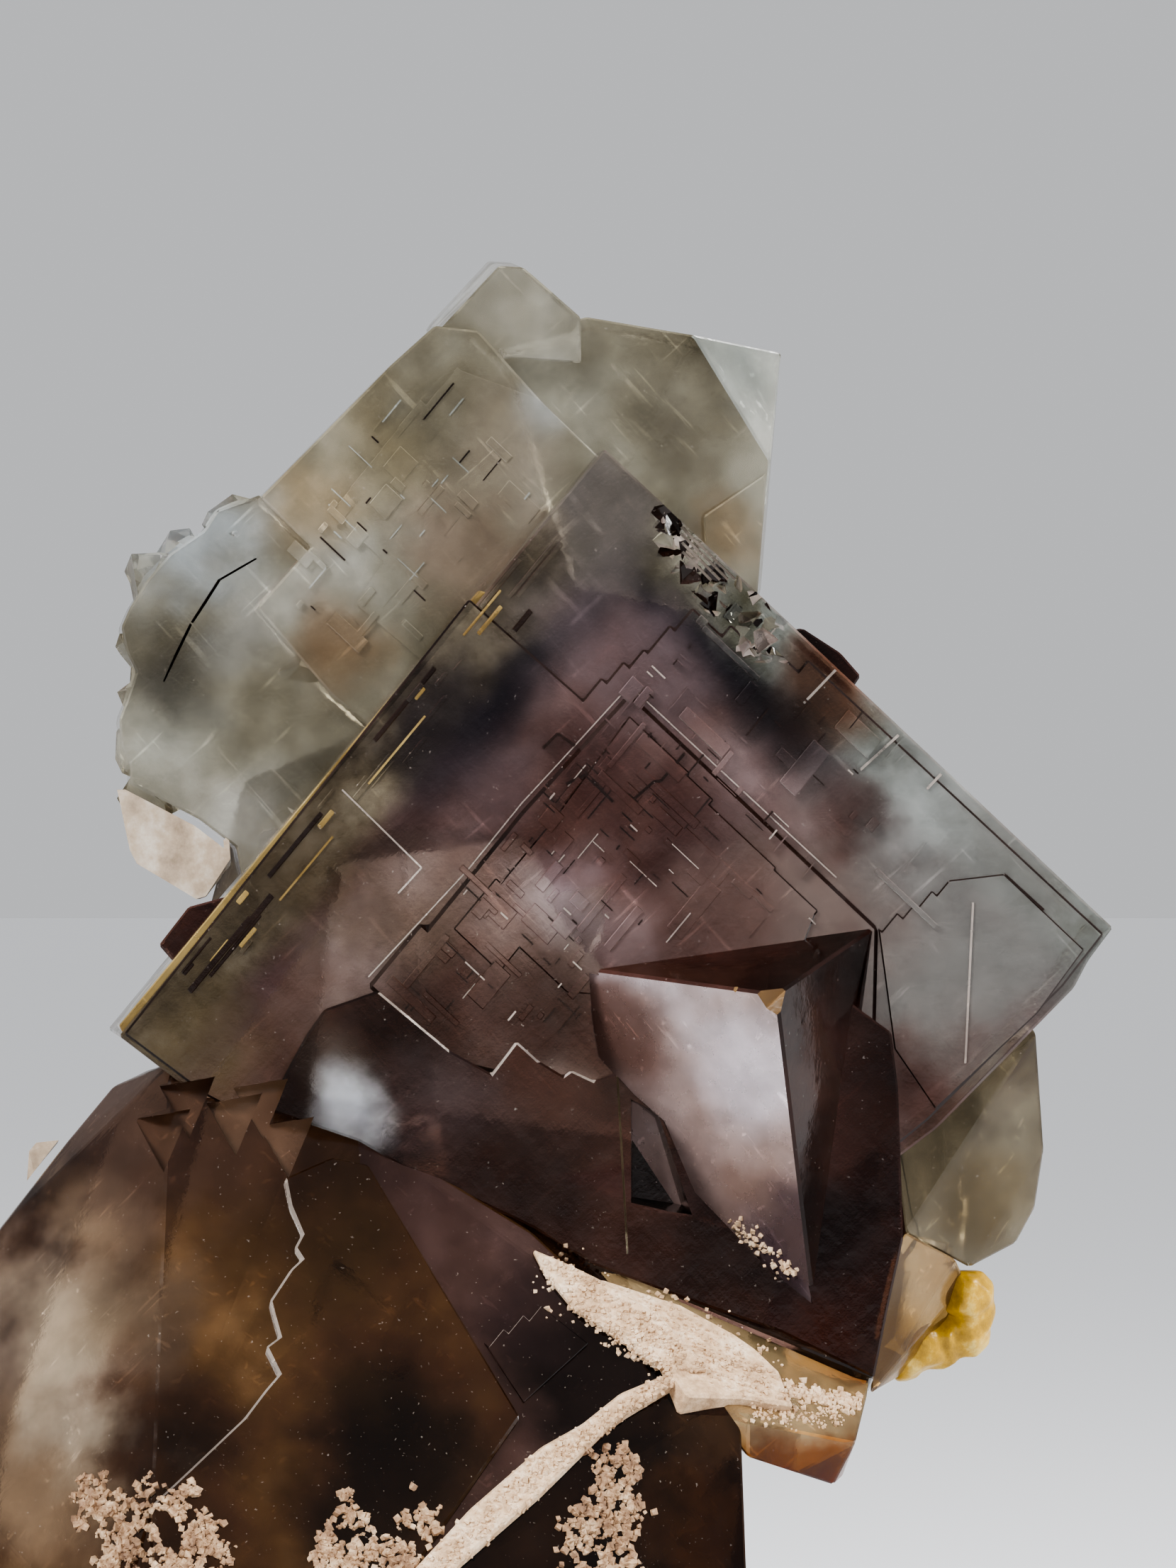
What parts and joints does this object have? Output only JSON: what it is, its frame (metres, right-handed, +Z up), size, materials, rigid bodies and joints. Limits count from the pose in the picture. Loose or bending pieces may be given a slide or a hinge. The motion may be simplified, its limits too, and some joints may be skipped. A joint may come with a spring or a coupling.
{
  "type": "fluorite specimen",
  "caption": "Free-standing cluster of intergrown smoky fluorite cubes with cream crusts and pale calcite, for display on a shelf.",
  "frame": {"origin": "centre of the bounding box at the flat cut that the specimen rests on", "axes": "+Z up from the cut, +X to the viewer's right when the big cube's face is seen from the front, +Y away from that viewer"},
  "size_m": [0.0672, 0.0544, 0.0818],
  "materials": {
    "fluorite": "clear to smoky crystal with colour zones",
    "cream_crust": "rough, sugary",
    "yellow_calcite": "waxy",
    "pale_calcite": "satin"
  },
  "bodies": {
    "root": {"fluorite_cluster": "fluorite", "cream_ridge_crust": "cream_crust", "cream_block_crust": "cream_crust", "pale_druse_left": "cream_crust", "pale_druse_middle": "cream_crust", "pale_druse_right": "cream_crust", "yellow_lumps": "yellow_calcite", "cream_crystal": "pale_calcite", "white_crystal": "pale_calcite"}
  },
  "joints": []
}
